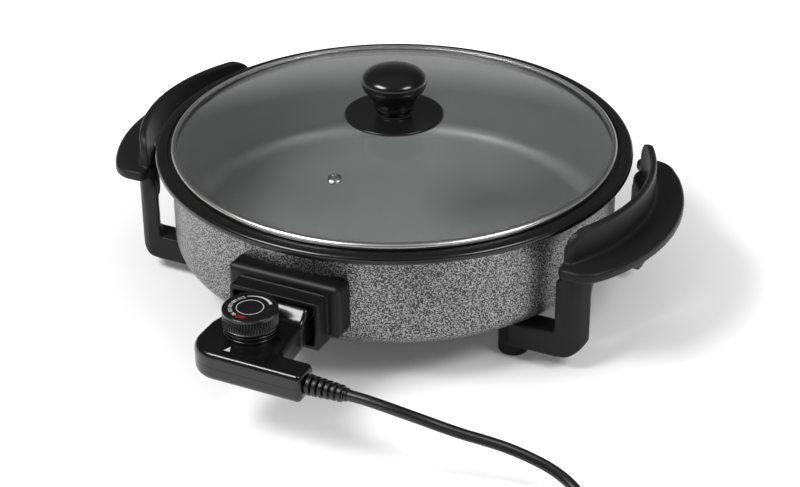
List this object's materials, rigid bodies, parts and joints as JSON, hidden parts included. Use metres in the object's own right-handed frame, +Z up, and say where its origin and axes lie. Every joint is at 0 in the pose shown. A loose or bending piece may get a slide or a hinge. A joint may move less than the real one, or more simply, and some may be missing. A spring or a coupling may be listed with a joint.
{
  "type": "electric pizza pan",
  "caption": "Round electric pan with a domed glass lid, black side handles that carry its feet, and a plug-in thermostat with a ribbed dial and a mains lead.",
  "frame": {"origin": "on the pan's axis, in the plane where the feet stand on the table", "axes": "+X towards the right handle as seen from the thermostat, -Y out of the socket, +Z up"},
  "size_m": [0.5828, 0.735, 0.2067],
  "materials": {
    "hammered_pan": "hammered grey paint outside, satin dark non-stick inside",
    "handle_plastic": "satin black phenolic moulding",
    "knob_plastic": "polished black phenolic moulding",
    "case_plastic": "glossy black moulding",
    "dial_plastic": "black moulding with fine ribs and white print",
    "clear_glass": "clear tempered glass",
    "bright_steel": "bright rolled steel",
    "plain_steel": "plain satin steel",
    "sheath_steel": "heat-darkened steel sheath",
    "ceramic": "pale ceramic, matt",
    "contact_brass": "plain brass",
    "base_phenolic": "brown phenolic, matt",
    "cord_rubber": "black rubber sheath",
    "plug_plastic": "black moulded plug body"
  },
  "bodies": {
    "pan": {"pan_body": "hammered_pan", "heating_element": "sheath_steel", "terminal_insulators": "ceramic", "terminal_pins": "bright_steel", "terminal_plate": "plain_steel", "earth_pin": "contact_brass", "plate_screws": "plain_steel", "socket_shroud": "handle_plastic", "left_handle": "handle_plastic", "right_handle": "handle_plastic", "handle_screws": "plain_steel"},
    "lid": {"lid_glass": "clear_glass", "lid_band": "bright_steel", "vent_eyelet": "bright_steel", "lid_knob": "knob_plastic", "knob_plate": "knob_plastic", "knob_screw": "plain_steel", "knob_washer": "cord_rubber"},
    "thermostat": {"thermostat_upper_shell": "case_plastic", "thermostat_lower_shell": "case_plastic", "thermostat_screws": "plain_steel", "thermostat_probe": "bright_steel", "contact_tubes": "contact_brass", "earth_contact": "contact_brass", "switch_base": "base_phenolic", "bimetal_strip": "contact_brass", "contact_blade": "contact_brass", "strain_relief": "cord_rubber", "cord_lead": "cord_rubber", "cord_coil": "cord_rubber", "cord_tie": "plug_plastic", "mains_plug": "plug_plastic", "plug_pins": "bright_steel"},
    "dial": {"dial_knob": "dial_plastic", "dial_spindle": "plain_steel"}
  },
  "joints": [
    {"name": "lid_lift", "type": "slide", "parent": "pan", "child": "lid", "axis": [0, 0, 1], "range_m": [0, 0.15]},
    {"name": "thermostat_unplug", "type": "slide", "parent": "pan", "child": "thermostat", "axis": [0, -1, 0], "range_m": [0, 0.06]},
    {"name": "dial_turn", "type": "hinge", "parent": "thermostat", "child": "dial", "pos_m": [0, -0.267, 0.093], "axis": [0, 0, 1], "range_deg": [0, 240]}
  ]
}
